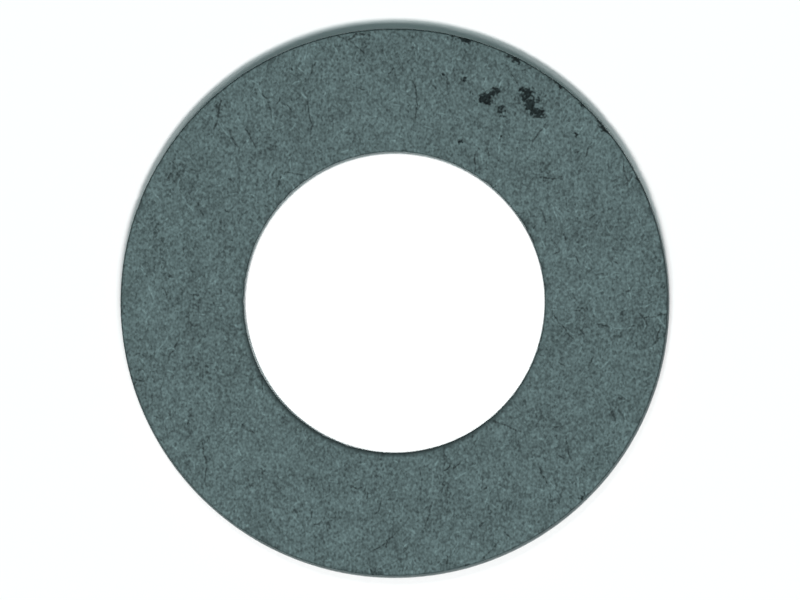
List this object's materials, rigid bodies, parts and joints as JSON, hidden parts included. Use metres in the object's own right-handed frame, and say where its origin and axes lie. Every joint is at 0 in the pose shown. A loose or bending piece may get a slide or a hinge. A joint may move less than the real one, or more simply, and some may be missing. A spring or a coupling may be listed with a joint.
{
  "type": "flat washer",
  "caption": "Plain flat steel washer: a thin ring with two flat bearing faces, a rolled lower edge and a slightly rounded upper edge.",
  "frame": {"origin": "centre of the lower bearing face, on the axis of the bore", "axes": "+Z along the bore, from the face with the rolled edges to the face with the sharper edges; X and Y are free, as the washer is round"},
  "size_m": [0.024, 0.024, 0.0025],
  "materials": {
    "washer_steel": "matte"
  },
  "bodies": {
    "root": {"washer": "washer_steel"}
  },
  "joints": []
}
